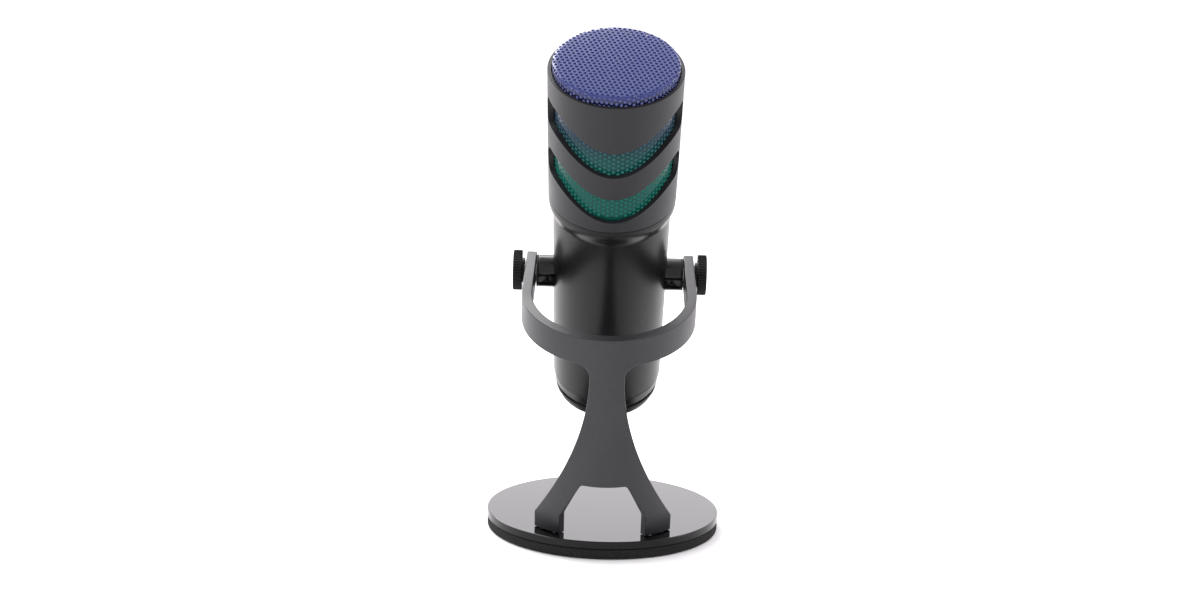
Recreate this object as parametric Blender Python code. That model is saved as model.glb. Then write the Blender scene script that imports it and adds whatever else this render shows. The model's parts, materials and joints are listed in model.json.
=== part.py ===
"""Desktop microphone held in a bent-sheet yoke stand on a round weighted base.

Lengths are in millimetres and are turned into metres when a mesh is made.
World frame: +Z up, +Y is the side the microphone faces, the origin is the
middle of the underside of the base.
"""
import math

import bmesh
import bpy
from mathutils import Matrix, Vector

MM = 0.001
GAP = 0.3                    # clearance left between neighbouring pieces
ROUND = 40                   # facets around the large round pieces
MIDDLE_ROUND = 24            # facets around pieces the size of a thumb knob
SMALL_ROUND = 16             # facets around pins and bores
SCREW_ROUND = 12             # facets around screws and their holes

# Base
BASE_RADIUS = 50.6
BASE_ROUND = 72              # more facets, as the base is twice as wide as the head
PAD_TOP = 3.9
PLATE_BOTTOM = PAD_TOP + GAP
PLATE_TOP = 7.5

# Stand: one thick sheet rolled to a half round whose axis leans back to front
SHEET = 4.15
ROLL_RADIUS = 35.6
STAND_LEAN = math.radians(21.6)
STAND_FOOT_Y = -8.41         # where the roll axis meets the top of the base
STRIP_TOP = 113.3            # the U strip, measured up the roll axis
STRIP_BOTTOM = 100.9
BEND = math.radians(91.5)    # the roll goes a little past square, so the arms toe in
ARM_REACH = 24.33            # straight run from the roll to the pivot
ARM_TAIL = 7.4               # arm beyond the pivot
ARM_CORNER = 2.2
WAIST_HALF = 7.1
WAIST_TOP = 94.5
WAIST_FILLET = 6.0
FLARE_POWER = 1.88
FOOT_OUTER = 33.8            # arc length from the middle to the outer foot edge
FOOT_INNER = 19.0
FOOT_SHOULDER = 16.5
ARCH_SPRING = 21.5
ARCH_HALF = 9.6
ARCH_TOP = 40.9
EDGE_BREAK = 0.35
BEND_FACETS = 10             # facets in each half of the roll
FOOT_SCREWS = (22.6, 30.2)   # arc length from the middle to each foot screw
SCREW_DEPTH = 3.0

# Microphone, measured along its axis from the pivot (+ towards the head)
PIVOT = Vector((0.0, -24.53, 116.74))
MIC_LEAN = math.radians(30.0)
BODY_FOOT_RADIUS = 23.1
BODY_BORE = 21.4
BODY_BOTTOM = -52.6
BODY_FLARE = (               # (height, radius) up the short flare under the head
    (33.4, 23.9), (34.6, 24.1), (35.8, 24.55), (37.0, 25.1), (38.2, 25.5), (39.6, 25.75),
)
BODY_SHELF = 36.5            # the bore widens here to take the neck ring
NECK_TOP = 41.7
NECK_RADIUS = 25.8
SHELL_BOTTOM = NECK_TOP + GAP
SHELL_TOP = 102.2
SHELL_BASE_RADIUS = 25.9
SHELL_RIM_RADIUS = 26.6
SHELL_BORE = 24.0
RIM_BORE = 25.1
RIM_SEAT = 97.0
CAP_RADIUS = 24.8
CAP_TOP = 106.0
CAP_CORNER = 1.35
CAP_SHEET = 0.6
DECK = 44.5                  # top of the neck ring inside the head

# Wave-shaped windows in the head shell, two on the front and two on the rear
WINDOW_HEIGHT = 11.7
WINDOW_RISE = 11.2
WINDOW_RISE_ANGLE = 70.0
WINDOWS = ((75.0, 87.0), (52.6, 82.0))   # height at the middle, half angle

# Pivot hardware, measured outwards along the pivot axis
STUD_RADIUS = 2.75
PIVOT_BORE = 3.2
INSERT_RADIUS = 4.0
SLEEVE_RADIUS = 6.8
SLEEVE_SEAT = 24.1           # radius of the saddle that follows the body
SLEEVE_END = 29.5
KNOB_START = 35.4
KNOB_RADIUS = 8.4
KNOB_TIP = 40.3
KNOB_FACETS = 48

# Tail
RING_TOP = BODY_BOTTOM - GAP
RING_BOTTOM = -57.9
RING_RADIUS = 22.9
RING_BORE = 20.2
CAP_SEAT = RING_BOTTOM - GAP
TAIL_FLANGE = 22.0           # radius of the thin rim between two grooves of the end cap
TAIL_END = -63.8
IO_BOARD_BOTTOM = -51.4
IO_BOARD_TOP = -49.8
TAIL_SCREW_RING = 14.0
USB_Y = -3.0
JACK_Y = 8.0

# Inside the body
FRAME_RADIUS = 20.8
BOARD_FRONT = 9.3
BOARD_REAR = 7.7
MUTE_HEIGHT = 12.0
LIGHT_HEIGHT = 26.0
BOARD_SCREWS = (-28.0, 20.0)
NECK_SCREW_RING = 18.9
LED_COUNT = 8
LED_RING = 16.5
CAPSULE_HEIGHT = 76.0

ALONG_X = Matrix.Rotation(math.radians(90.0), 4, "Y")
ALONG_MINUS_X = Matrix.Rotation(math.radians(-90.0), 4, "Y")
ALONG_Y = Matrix.Rotation(math.radians(-90.0), 4, "X")
SIDES = (("left", ALONG_MINUS_X), ("right", ALONG_X))


# ---------------------------------------------------------------- shapes

def revolve(profile, segments=ROUND):
    """Turn a closed loop of (radius, height[, flute depth]) about Z."""
    points = []
    rings = []
    for entry in profile:
        radius, height = entry[:2]
        flute = entry[2] if len(entry) > 2 else 0.0
        if radius == 0.0:
            rings.append([len(points)])
            points.append((0.0, 0.0, height))
            continue
        rings.append(list(range(len(points), len(points) + segments)))
        for step in range(segments):
            angle = 2.0 * math.pi * step / segments
            reach = radius - flute * (step % 2)
            points.append((reach * math.cos(angle), reach * math.sin(angle), height))
    faces = []
    for here, there in zip(rings, rings[1:] + rings[:1]):
        for step in range(segments):
            ahead = step + 1
            corners = [
                here[step % len(here)],
                here[ahead % len(here)],
                there[ahead % len(there)],
                there[step % len(there)],
            ]
            face = list(dict.fromkeys(corners))
            if len(face) > 2:
                faces.append(face)
    return points, faces


def rod(radius, start, end, segments=SMALL_ROUND):
    """Solid cylinder on Z between two heights."""
    return revolve([(0.0, start), (radius, start), (radius, end), (0.0, end)], segments)


def tube(bore, radius, start, end, segments=ROUND):
    """Hollow cylinder on Z between two heights."""
    return revolve([(bore, start), (radius, start), (radius, end), (bore, end)], segments)


def prism(outline, start, end):
    """Extrude a flat outline along Z."""
    count = len(outline)
    points = [(x, y, start) for x, y in outline] + [(x, y, end) for x, y in outline]
    faces = [list(range(count))[::-1], list(range(count, 2 * count))]
    for here in range(count):
        there = (here + 1) % count
        faces.append([here, there, count + there, count + here])
    return points, faces


def box(x_range, y_range, z_range):
    """Rectangular block from three (low, high) ranges."""
    (x0, x1), (y0, y1) = x_range, y_range
    return prism([(x0, y0), (x1, y0), (x1, y1), (x0, y1)], *z_range)


def stadium(width, height, middle_y=0.0, segments=5):
    """Outline of a slot with round ends, its long side on X."""
    radius = height / 2.0
    offset = width / 2.0 - radius
    outline = []
    for side, first in ((1, -90.0), (-1, 90.0)):
        for step in range(segments + 1):
            angle = math.radians(first + 180.0 * step / segments)
            outline.append((side * offset + radius * math.cos(angle),
                            middle_y + radius * math.sin(angle)))
    return outline


def round_corner(before, corner, after, radius, segments=4):
    """Points of a fillet that replaces one corner of an outline."""
    corner = Vector(corner)
    to_before = (Vector(before) - corner).normalized()
    to_after = (Vector(after) - corner).normalized()
    half = to_before.angle(to_after) / 2.0
    run = radius / math.tan(half)
    centre = corner + (to_before + to_after).normalized() * radius / math.sin(half)
    start = corner + to_before * run - centre
    end = corner + to_after * run - centre
    points = []
    for step in range(segments + 1):
        share = step / segments
        arm = start.slerp(end, share) if start.angle(end) > 1e-6 else start
        points.append(tuple(centre + arm.normalized() * radius))
    return points


# ---------------------------------------------------------------- objects

def finish(mesh, name, colour, roughness, metallic):
    """Give a mesh its own material and smooth its rounded faces."""
    material = bpy.data.materials.new(name + "_finish")
    material.use_nodes = True
    shader = material.node_tree.nodes["Principled BSDF"]
    shader.inputs["Base Color"].default_value = (*colour, 1.0)
    shader.inputs["Roughness"].default_value = roughness
    shader.inputs["Metallic"].default_value = metallic
    mesh.materials.clear()
    mesh.materials.append(material)


def smooth(mesh):
    """Face the mesh outwards, shade it smooth and keep its real edges sharp."""
    shape = bmesh.new()
    shape.from_mesh(mesh)
    bmesh.ops.remove_doubles(shape, verts=shape.verts, dist=1e-6)
    bmesh.ops.recalc_face_normals(shape, faces=shape.faces)
    shape.to_mesh(mesh)
    shape.free()
    for face in mesh.polygons:
        face.use_smooth = True
    mesh.set_sharp_from_angle(angle=math.radians(32.0))


def make(name, shape, look, parent=None, place=None):
    """Add one named object from (points, faces) given in millimetres."""
    points, faces = shape
    mesh = bpy.data.meshes.new(name)
    mesh.from_pydata([Vector(point) * MM for point in points], [], faces)
    smooth(mesh)
    finish(mesh, name, *look)
    piece = bpy.data.objects.new(name, mesh)
    bpy.context.scene.collection.objects.link(piece)
    piece.parent = parent
    matrix = (place or Matrix.Identity(4)).copy()
    matrix.translation = matrix.translation * MM
    piece.matrix_local = matrix
    return piece


def combine(piece, shapes, operation, place=None):
    """Cut shapes out of a piece, or join them to it, in the piece's parent frame."""
    tools = []
    for number, shape in enumerate(shapes):
        tool = make(f"tool_{number}", shape, DARK_PLASTIC, piece.parent, place)
        tool.hide_render = True
        tool.display_type = "WIRE"
        modifier = piece.modifiers.new(f"tool_{number}", "BOOLEAN")
        modifier.operation = operation
        modifier.solver = "EXACT"
        modifier.object = tool
        tools.append(tool)
    bpy.context.view_layer.update()
    graph = bpy.context.evaluated_depsgraph_get()
    mesh = bpy.data.meshes.new_from_object(piece.evaluated_get(graph))
    material = piece.data.materials[0]
    piece.modifiers.clear()
    piece.data = mesh
    mesh.materials.clear()
    mesh.materials.append(material)
    smooth(mesh)
    for tool in tools:
        bpy.data.objects.remove(tool)


def cut(piece, shapes, place=None):
    combine(piece, shapes, "DIFFERENCE", place)


def join(piece, shapes, place=None):
    combine(piece, shapes, "UNION", place)


def at(x, y, z):
    return Matrix.Translation((x, y, z))


def ring_places(radius, count, first=0.0):
    """Evenly spaced (x, y, angle) positions around the axis."""
    places = []
    for step in range(count):
        angle = first + 2.0 * math.pi * step / count
        places.append((radius * math.cos(angle), radius * math.sin(angle), angle))
    return places


# Surface looks: colour, roughness, metallic
DARK_PAINT = ((0.045, 0.044, 0.050), 0.42, 0.25)
STAND_PAINT = ((0.055, 0.054, 0.061), 0.55, 0.20)
GLOSS_PLATE = ((0.030, 0.030, 0.032), 0.12, 0.35)
RUBBER = ((0.012, 0.012, 0.012), 0.90, 0.0)
DARK_PLASTIC = ((0.020, 0.020, 0.022), 0.50, 0.0)
GREY_PLASTIC = ((0.18, 0.18, 0.19), 0.55, 0.0)
STEEL = ((0.55, 0.55, 0.56), 0.30, 1.0)
BRASS = ((0.72, 0.52, 0.22), 0.32, 1.0)
GRILLE_BLUE = ((0.16, 0.20, 0.42), 0.40, 0.6)
GRILLE_TEAL = ((0.08, 0.30, 0.36), 0.40, 0.6)
PALE_FOAM = ((0.22, 0.30, 0.48), 0.95, 0.0)
BOARD_GREEN = ((0.02, 0.12, 0.06), 0.45, 0.0)
CHIP_BLACK = ((0.010, 0.010, 0.011), 0.40, 0.0)
LED_WHITE = ((0.80, 0.85, 0.90), 0.30, 0.0)
CLEAR_PLASTIC = ((0.75, 0.20, 0.20), 0.15, 0.0)


# ---------------------------------------------------------------- base

def foot_screw_points():
    """World positions of the foot screw axes, two under each foot."""
    height = PLATE_TOP + GAP + SCREW_DEPTH / 2.0
    points = []
    for side in (-1.0, 1.0):
        for arc in FOOT_SCREWS:
            points.append(foot_point(side * arc, SHEET / 2.0, height))
    return points


def add_base():
    pad = [(0.0, 0.0), (BASE_RADIUS - 0.7, 0.0), (BASE_RADIUS, 0.7), (BASE_RADIUS, PAD_TOP),
           (0.0, PAD_TOP)]
    make("base_pad", revolve(pad, BASE_ROUND), RUBBER)
    plate_profile = [
        (0.0, PLATE_BOTTOM), (BASE_RADIUS - 0.3, PLATE_BOTTOM), (BASE_RADIUS, PLATE_BOTTOM + 0.3),
        (BASE_RADIUS, PLATE_TOP - 0.5), (BASE_RADIUS - 0.5, PLATE_TOP), (0.0, PLATE_TOP),
    ]
    plate = make("base_plate", revolve(plate_profile, BASE_ROUND), GLOSS_PLATE)
    hole = [
        (0.0, PLATE_BOTTOM - 1.0), (2.2, PLATE_BOTTOM - 1.0), (2.2, PLATE_BOTTOM + 0.3),
        (1.25, PLATE_BOTTOM + 1.3), (1.25, PLATE_TOP + 1.0), (0.0, PLATE_TOP + 1.0),
    ]
    screw = [
        (0.0, PLATE_BOTTOM + 0.1), (1.9, PLATE_BOTTOM + 0.1), (1.9, PLATE_BOTTOM + 0.3),
        (1.0, PLATE_BOTTOM + 1.3), (1.0, PLATE_TOP + GAP + SCREW_DEPTH - 0.3),
        (0.0, PLATE_TOP + GAP + SCREW_DEPTH - 0.3),
    ]
    for number, (x, y, _) in enumerate(foot_screw_points(), start=1):
        cut(plate, [revolve(hole, SCREW_ROUND)], at(x, y, 0.0))
        make(f"foot_screw_{number}", revolve(screw, SCREW_ROUND), STEEL, place=at(x, y, 0.0))


# ---------------------------------------------------------------- stand

def rolled(arc, depth):
    """Sideways and backwards position of a point on the rolled sheet."""
    rolled_arc = ROLL_RADIUS * BEND
    side = -1.0 if arc < 0.0 else 1.0
    radius = ROLL_RADIUS - depth
    if abs(arc) >= rolled_arc:
        run = abs(arc) - rolled_arc
        return (side * (radius * math.sin(BEND) + run * math.cos(BEND)),
                run * math.sin(BEND) - radius * math.cos(BEND))
    facet = rolled_arc / BEND_FACETS
    step = int(abs(arc) / facet + 1e-9)
    share = abs(arc) / facet - step
    turn = BEND / BEND_FACETS
    near, far = step * turn, (step + 1) * turn
    across = (1.0 - share) * math.sin(near) + share * math.sin(far)
    back = (1.0 - share) * math.cos(near) + share * math.cos(far)
    return side * radius * across, -radius * back


def stand_point(arc, depth, height):
    """World position of a point given on the flat sheet."""
    across, back = rolled(arc, depth)
    lean_sin, lean_cos = math.sin(STAND_LEAN), math.cos(STAND_LEAN)
    return (across,
            STAND_FOOT_Y - lean_sin * height + lean_cos * back,
            PLATE_TOP + lean_cos * height + lean_sin * back)


def foot_point(arc, depth, world_height):
    """World position on the sheet at a chosen height above the desk."""
    back = rolled(arc, depth)[1]
    rise = world_height - PLATE_TOP - math.sin(STAND_LEAN) * back
    return stand_point(arc, depth, rise / math.cos(STAND_LEAN))


def flare(height):
    """Half width of the post at a height, from the shoulder up to the waist."""
    share = (WAIST_TOP - height) / (WAIST_TOP - FOOT_SHOULDER)
    return WAIST_HALF + (FOOT_OUTER - WAIST_HALF) * share ** FLARE_POWER


def stand_outline():
    """Flat outline of the sheet; the feet end at zero."""
    arm_end = ROLL_RADIUS * BEND + ARM_REACH + ARM_TAIL
    top = (arm_end, STRIP_TOP)
    bottom = (arm_end, STRIP_BOTTOM)
    waist = (WAIST_HALF, STRIP_BOTTOM)
    half = round_corner((0.0, STRIP_TOP), top, bottom, ARM_CORNER)
    half += round_corner(top, bottom, waist, ARM_CORNER)
    half += round_corner(bottom, waist, (WAIST_HALF, WAIST_TOP), WAIST_FILLET)
    steps = 14
    for step in range(1, steps + 1):
        height = WAIST_TOP + (FOOT_SHOULDER - WAIST_TOP) * step / steps
        half.append((flare(height), height))
    foot = (FOOT_INNER, 0.0)
    spring = (FOOT_INNER, ARCH_SPRING)
    crown = (ARCH_HALF, ARCH_TOP)
    half += [(FOOT_OUTER, 0.0), foot]
    half += round_corner(foot, spring, crown, 4.0)
    half += round_corner(spring, crown, (0.0, ARCH_TOP), 2.0)
    return half + [(-arc, height) for arc, height in reversed(half)]


def bend_sheet(shape):
    """Roll the flat sheet and trim its feet level with the base."""
    for vertex in shape.verts:
        arc, height, depth = vertex.co
        if height < 1.0:
            vertex.co = foot_point(arc, depth, PLATE_TOP + GAP + height)
        else:
            vertex.co = stand_point(arc, depth, height)


def add_stand():
    points, faces = prism(stand_outline(), 0.0, SHEET)
    flat = bpy.data.meshes.new("flat")
    flat.from_pydata(points, [], faces)
    shape = bmesh.new()
    shape.from_mesh(flat)
    rims = [edge for edge in shape.edges if edge.verts[0].co.z == edge.verts[1].co.z]
    bmesh.ops.bevel(shape, geom=rims, offset=EDGE_BREAK, segments=1, affect="EDGES")
    facet = ROLL_RADIUS * BEND / BEND_FACETS
    for step in range(-BEND_FACETS, BEND_FACETS + 1):
        everything = shape.verts[:] + shape.edges[:] + shape.faces[:]
        bmesh.ops.bisect_plane(shape, geom=everything, dist=1e-5,
                               plane_co=(step * facet, 0.0, 0.0), plane_no=(1.0, 0.0, 0.0))
    bend_sheet(shape)
    points = [tuple(vertex.co) for vertex in shape.verts]
    shape.verts.index_update()
    faces = [[vertex.index for vertex in face.verts] for face in shape.faces]
    shape.free()
    bpy.data.meshes.remove(flat)
    yoke = make("stand_yoke", (points, faces), STAND_PAINT)
    pivot = at(0.0, PIVOT.y, PIVOT.z)
    cut(yoke, [rod(PIVOT_BORE, -40.0, -28.0), rod(PIVOT_BORE, 28.0, 40.0)], pivot @ ALONG_X)
    for x, y, _ in foot_screw_points():
        cut(yoke, [rod(1.2, PLATE_TOP, PLATE_TOP + GAP + SCREW_DEPTH, SCREW_ROUND)],
            at(x, y, 0.0))


# ---------------------------------------------------------------- head

def window_centre(angle, middle):
    """Height of the middle of a window at an angle from its lowest point."""
    share = min(abs(angle) / WINDOW_RISE_ANGLE, 1.0)
    return middle + WINDOW_RISE * (1.0 - math.cos(math.pi * share)) / 2.0


def window_cutter(middle, half_angle, facing):
    """Wedge of rings that opens one window; facing is the angle of its middle."""
    round_run = math.degrees(WINDOW_HEIGHT / 2.0 / SHELL_RIM_RADIUS)
    turn = half_angle - round_run
    facet = 360.0 / ROUND
    body = [facet * step for step in range(math.ceil(turn / facet))] + [turn]
    ends = [turn + round_run * math.sin(math.radians(22.5 * step)) for step in range(1, 4)]
    ends.append(turn + round_run * 0.998)
    right = body + ends
    angles = [-angle for angle in reversed(right[1:])] + right
    points = []
    for angle in angles:
        past = max(0.0, abs(angle) - turn) / round_run
        half = WINDOW_HEIGHT / 2.0 * math.sqrt(1.0 - past * past)
        centre = window_centre(angle, middle)
        bearing = math.radians(facing + angle)
        for radius, height in ((21.0, centre - half), (30.0, centre - half),
                               (30.0, centre + half), (21.0, centre + half)):
            points.append((radius * math.cos(bearing), radius * math.sin(bearing), height))
    faces = [[3, 2, 1, 0]]
    for column in range(len(angles) - 1):
        base = 4 * column
        for corner in range(4):
            ahead = (corner + 1) % 4
            faces.append([base + corner, base + ahead, base + 4 + ahead, base + 4 + corner])
    last = 4 * (len(angles) - 1)
    faces.append([last, last + 1, last + 2, last + 3])
    return points, faces


def add_head(mic):
    shell_profile = [
        (SHELL_BORE, SHELL_BOTTOM), (SHELL_BASE_RADIUS - 0.4, SHELL_BOTTOM),
        (SHELL_BASE_RADIUS, SHELL_BOTTOM + 0.4), (SHELL_RIM_RADIUS, SHELL_TOP - 0.5),
        (SHELL_RIM_RADIUS - 0.4, SHELL_TOP), (RIM_BORE + 0.3, SHELL_TOP),
        (RIM_BORE, SHELL_TOP - 0.3), (RIM_BORE, RIM_SEAT), (SHELL_BORE, RIM_SEAT),
    ]
    shell = make("head_shell", revolve(shell_profile), DARK_PAINT, mic)
    cutters = []
    for facing in (-90.0, 90.0):
        cutters += [window_cutter(middle, half_angle, facing) for middle, half_angle in WINDOWS]
    cut(shell, cutters)
    sleeve = tube(SHELL_BORE - GAP - 0.6, SHELL_BORE - GAP, DECK + GAP, RIM_SEAT - GAP)
    make("grille_sleeve", sleeve, GRILLE_TEAL, mic)
    cap = cup_profile(CAP_RADIUS, CAP_TOP, CAP_CORNER, CAP_SHEET, RIM_SEAT + GAP)
    make("grille_cap", revolve(cap), GRILLE_BLUE, mic)
    foam = cup_profile(22.8, CAP_TOP - CAP_SHEET - GAP, 1.4, 2.9, DECK + GAP)
    make("foam_windscreen", revolve(foam), PALE_FOAM, mic)


def cup_profile(radius, top, corner, sheet, mouth):
    """Section of a cup that opens downwards, with a rounded outer corner."""
    profile = [(radius, mouth)]
    for step in range(3):
        angle = math.radians(45.0 * step)
        profile.append((radius - corner + corner * math.cos(angle),
                        top - corner + corner * math.sin(angle)))
    profile += [(0.0, top), (0.0, top - sheet)]
    inner = max(corner - sheet, 0.0)
    if inner > 0.0:
        for step in range(2, -1, -1):
            angle = math.radians(45.0 * step)
            profile.append((radius - corner + inner * math.cos(angle),
                            top - corner + inner * math.sin(angle)))
    else:
        profile.append((radius - sheet, top - sheet))
    profile.append((radius - sheet, mouth))
    return profile


def add_capsule(mic):
    """Microphone capsule in its cradle, standing on a sprung stem."""
    make("capsule_stem", tube(2.5, 5.0, 33.0 + GAP, 62.0, SMALL_ROUND), GREY_PLASTIC, mic)
    make("shock_ring", tube(5.0 + GAP, 9.7, DECK + GAP, DECK + 3.0, SMALL_ROUND), RUBBER, mic)
    middle = at(0.0, 0.0, CAPSULE_HEIGHT) @ ALONG_Y
    cradle = make("capsule_cradle", tube(11.0, 13.2, -4.0, 4.0, MIDDLE_ROUND), DARK_PLASTIC,
                  mic, middle)
    join(cradle, [box((-4.0, 4.0), (-3.5, 3.5), (62.0 + GAP, 64.4))])
    capsule = [
        (0.0, -5.0), (9.5, -5.0), (10.7, -4.0), (10.7, 4.0),
        (9.9, 5.0), (8.6, 5.0), (8.6, 4.2), (0.0, 4.2),
    ]
    make("capsule", revolve(capsule, MIDDLE_ROUND), BRASS, mic, middle)


def add_head_lights(mic):
    make("light_board", tube(10.0, 19.6, DECK + GAP, DECK + 1.5), BOARD_GREEN, mic)
    lamp = box((-1.2, 1.2), (-1.2, 1.2), (DECK + 1.8, DECK + 2.7))
    for number, (x, y, angle) in enumerate(ring_places(LED_RING, LED_COUNT), start=1):
        place = at(x, y, 0.0) @ Matrix.Rotation(angle, 4, "Z")
        make(f"head_light_{number}", lamp, LED_WHITE, mic, place)


# ---------------------------------------------------------------- body

def add_body(mic):
    profile = [
        (BODY_BORE, BODY_BOTTOM), (BODY_FOOT_RADIUS - 0.3, BODY_BOTTOM),
        (BODY_FOOT_RADIUS, BODY_BOTTOM + 0.3),
    ]
    profile += [(radius, height) for height, radius in BODY_FLARE]
    profile += [
        (NECK_RADIUS, NECK_TOP - 0.3), (NECK_RADIUS - 0.3, NECK_TOP), (SHELL_BORE, NECK_TOP),
        (SHELL_BORE, BODY_SHELF), (BODY_BORE, BODY_SHELF),
    ]
    body = make("body_tube", revolve(profile), DARK_PAINT, mic)
    cut(body, [rod(INSERT_RADIUS + GAP, -30.0, -15.0), rod(INSERT_RADIUS + GAP, 15.0, 30.0)],
        ALONG_X)
    cut(body, [rod(5.3, 15.0, 30.0)], at(0.0, 0.0, MUTE_HEIGHT) @ ALONG_Y)
    cut(body, [rod(1.5, 15.0, 30.0)], at(0.0, 0.0, LIGHT_HEIGHT) @ ALONG_Y)


def add_neck(mic):
    """Ring that joins the head to the body, hidden inside both."""
    neck = make("neck_ring", tube(17.0, SHELL_BORE - GAP, BODY_SHELF + GAP, DECK), DARK_PAINT, mic)
    screw = [(0.0, 28.9), (1.8, 28.9), (1.8, 30.7), (1.0, 30.7), (1.0, 40.2), (0.0, 40.2)]
    for number, (x, y, _) in enumerate(ring_places(NECK_SCREW_RING, 3, math.pi / 6.0), start=1):
        cut(neck, [rod(1.3, 34.0, 40.5)], at(x, y, 0.0))
        make(f"neck_screw_{number}", revolve(screw, SCREW_ROUND), STEEL, mic, at(x, y, 0.0))


def add_inner_frame(mic):
    """Moulded frame: two bulkheads, two rails, pivot blocks and board bars."""
    frame = make("inner_frame", tube(6.0, FRAME_RADIUS, 31.0, 33.0), GREY_PLASTIC, mic)
    floor = rod(FRAME_RADIUS, -46.0, -43.0, ROUND)
    rails = [box(span, (-4.0, 4.0), (-44.0, 32.0)) for span in ((-19.5, -16.5), (16.5, 19.5))]
    blocks = [box(span, (-6.5, 6.5), (-6.5, 6.5)) for span in ((-19.0, -13.5), (13.5, 19.0))]
    bars = [box((-17.5, 17.5), (2.0, BOARD_REAR - GAP), (height - 2.0, height + 2.0))
            for height in BOARD_SCREWS]
    join(frame, [floor] + rails + blocks + bars)
    cut(frame, [rod(INSERT_RADIUS + GAP, -24.0, -10.0), rod(INSERT_RADIUS + GAP, 10.0, 24.0)],
        ALONG_X)
    for height in BOARD_SCREWS:
        cut(frame, [rod(1.2, 4.2, 12.0)], at(0.0, 0.0, height) @ ALONG_Y)
    for x, y, _ in ring_places(NECK_SCREW_RING, 3, math.pi / 6.0):
        cut(frame, [rod(1.3, 30.0, 36.0)], at(x, y, 0.0))
    for x, y, _ in ring_places(TAIL_SCREW_RING, 3, math.pi / 6.0):
        cut(frame, [rod(1.3, -48.0, -41.0)], at(x, y, 0.0))


def add_main_board(mic):
    board = make("main_board", box((-16.0, 16.0), (BOARD_REAR, BOARD_FRONT), (-38.0, 28.0)),
                 BOARD_GREEN, mic)
    screw = [
        (0.0, 4.5), (0.9, 4.5), (0.9, BOARD_FRONT + GAP), (1.7, BOARD_FRONT + GAP),
        (1.7, BOARD_FRONT + 1.3), (0.0, BOARD_FRONT + 1.3),
    ]
    for number, height in enumerate(BOARD_SCREWS, start=1):
        place = at(0.0, 0.0, height) @ ALONG_Y
        cut(board, [rod(1.2, 5.0, 12.0)], place)
        make(f"board_screw_{number}", revolve(screw, SCREW_ROUND), STEEL, mic, place)
    front = BOARD_FRONT + GAP
    make("audio_chip", box((-5.0, 5.0), (front, front + 1.2), (-14.0, -4.0)), CHIP_BLACK, mic)
    make("mute_switch", box((-3.0, 3.0), (front, 13.0), (MUTE_HEIGHT - 3.0, MUTE_HEIGHT + 3.0)),
         CHIP_BLACK, mic)
    make("status_lamp", box((-0.8, 0.8), (front, front + 0.8),
                            (LIGHT_HEIGHT - 0.8, LIGHT_HEIGHT + 0.8)), LED_WHITE, mic)


def add_front_controls(mic):
    """Mute button with its retaining flange, and the light pipe above it."""
    button = [
        (0.0, 13.6), (1.6, 13.6), (1.6, 19.4), (6.2, 19.4), (6.2, 20.1),
        (5.0, 20.1), (5.0, 24.3), (4.6, 24.7), (0.0, 24.7),
    ]
    make("mute_button", revolve(button, MIDDLE_ROUND), DARK_PLASTIC, mic,
         at(0.0, 0.0, MUTE_HEIGHT) @ ALONG_Y)
    make("light_pipe", rod(1.2, 10.8, 23.7), CLEAR_PLASTIC, mic,
         at(0.0, 0.0, LIGHT_HEIGHT) @ ALONG_Y)


# ---------------------------------------------------------------- pivot

def add_pivot(mic, side, outward):
    """Insert, spacer sleeve, washer, stud and thumb knob of one side."""
    make(f"{side}_pivot_insert", tube(STUD_RADIUS + GAP, INSERT_RADIUS, 12.0, 22.9, SMALL_ROUND),
         BRASS, mic, outward)
    sleeve_profile = [
        (PIVOT_BORE, 20.0), (SLEEVE_RADIUS, 20.0), (SLEEVE_RADIUS, SLEEVE_END - 0.3),
        (SLEEVE_RADIUS - 0.3, SLEEVE_END), (PIVOT_BORE, SLEEVE_END),
    ]
    sleeve = make(f"{side}_spacer_sleeve", revolve(sleeve_profile, MIDDLE_ROUND), DARK_PAINT, mic,
                  outward)
    cut(sleeve, [rod(SLEEVE_SEAT, -10.0, 10.0, ROUND)])
    washer = tube(PIVOT_BORE, 6.4, SLEEVE_END + GAP, SLEEVE_END + GAP + 0.5, MIDDLE_ROUND)
    make(f"{side}_friction_washer", washer, RUBBER, mic, outward)
    stud_end = KNOB_TIP - 1.5
    stud = [
        (0.0, 12.6), (STUD_RADIUS - 0.5, 12.6), (STUD_RADIUS, 13.1),
        (STUD_RADIUS, stud_end), (0.0, stud_end),
    ]
    make(f"{side}_knob_stud", revolve(stud, SMALL_ROUND), STEEL, mic, outward)
    rib = 0.45
    knob = [
        (STUD_RADIUS + GAP, KNOB_START), (5.25, KNOB_START), (5.25, KNOB_START + 1.1),
        (KNOB_RADIUS, KNOB_START + 1.1, rib), (KNOB_RADIUS, KNOB_TIP - 0.5, rib),
        (KNOB_RADIUS - 0.5, KNOB_TIP, rib), (0.0, KNOB_TIP), (0.0, stud_end + GAP),
        (STUD_RADIUS + GAP, stud_end + GAP),
    ]
    make(f"{side}_thumb_knob", revolve(knob, KNOB_FACETS), DARK_PLASTIC, mic, outward)


# ---------------------------------------------------------------- tail

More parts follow.
